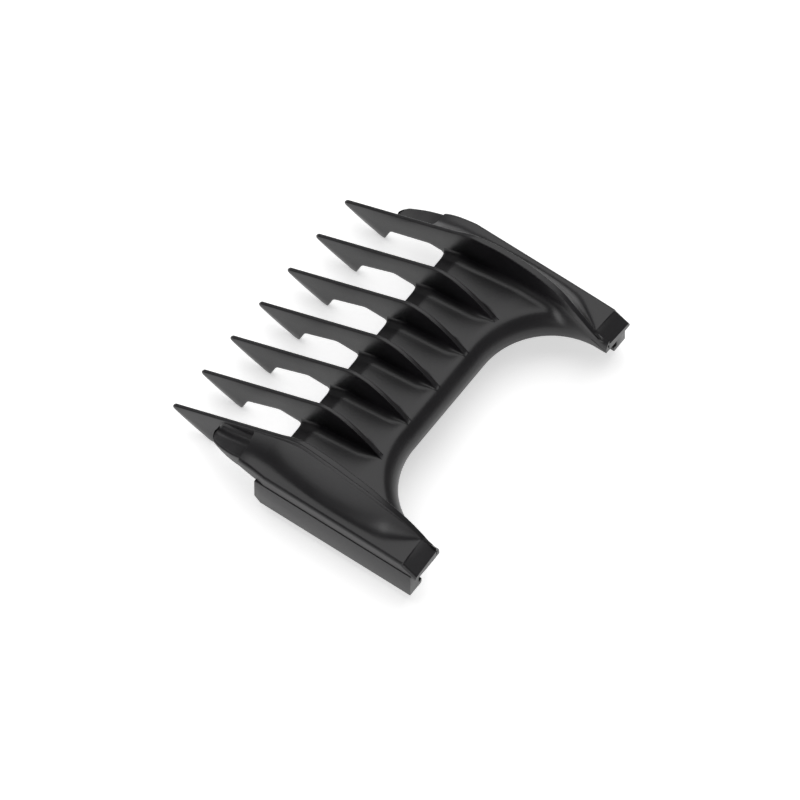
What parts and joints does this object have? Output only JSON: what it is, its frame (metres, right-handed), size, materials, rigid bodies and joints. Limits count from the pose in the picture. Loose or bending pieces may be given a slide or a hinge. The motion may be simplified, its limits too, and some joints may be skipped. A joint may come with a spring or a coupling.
{
  "type": "clipper guard comb",
  "caption": "Slide-on guard comb for a hair clipper: hooked teeth with fins on a bridge plate, scooped side flanges and two side channels that hold the blade.",
  "frame": {"origin": "centre of the comb's bounding box in plan, at the height of the lowest points of the hooks", "axes": "+X across the comb to its right rail, +Y towards the tooth tips, +Z away from the clipper's blade"},
  "size_m": [0.0506, 0.0446, 0.0149],
  "materials": {
    "comb_plastic": "moulded, fine matte texture"
  },
  "bodies": {
    "root": {"bridge_plate": "comb_plastic", "tooth_1": "comb_plastic", "tooth_2": "comb_plastic", "tooth_3": "comb_plastic", "tooth_4": "comb_plastic", "tooth_5": "comb_plastic", "tooth_6": "comb_plastic", "tooth_7": "comb_plastic", "left_arm": "comb_plastic", "right_arm": "comb_plastic", "left_flange": "comb_plastic", "right_flange": "comb_plastic", "left_rail_wall": "comb_plastic", "right_rail_wall": "comb_plastic", "left_rail_lip": "comb_plastic", "right_rail_lip": "comb_plastic", "left_front_guard": "comb_plastic", "right_front_guard": "comb_plastic", "left_end_pad": "comb_plastic", "right_end_pad": "comb_plastic"}
  },
  "joints": []
}
